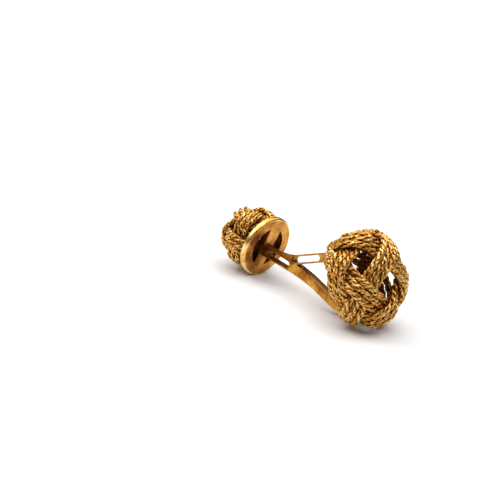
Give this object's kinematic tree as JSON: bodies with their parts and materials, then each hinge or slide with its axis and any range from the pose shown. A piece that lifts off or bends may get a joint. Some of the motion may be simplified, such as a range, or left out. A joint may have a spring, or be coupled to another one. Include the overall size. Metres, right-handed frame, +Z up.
{
  "type": "cufflink",
  "caption": "Gold cufflink: a large hollow knot of woven twisted rope and a small one behind a windowed disc, joined by a pierced fork bridge",
  "frame": {"origin": "the middle of the footprint on the table, with the cufflink lying as it rests by itself on the front knot and the back disc", "axes": "Z up, X along the cufflink towards the front knot, Y away from the side that the picture shows"},
  "size_m": [0.0312, 0.014, 0.0136],
  "materials": {
    "front_knot": "twisted gold wire, bright on the strands and dark with age between them",
    "bridge": "polished yellow gold, worn, with brown tarnish on the flat face",
    "back_disc": "polished yellow gold with a soft satin rim",
    "back_knot": "twisted gold wire, bright on the strands and dark with age between them"
  },
  "bodies": {
    "root": {"front_knot": "front_knot", "bridge": "bridge", "back_disc": "back_disc", "back_knot": "back_knot"}
  },
  "joints": []
}
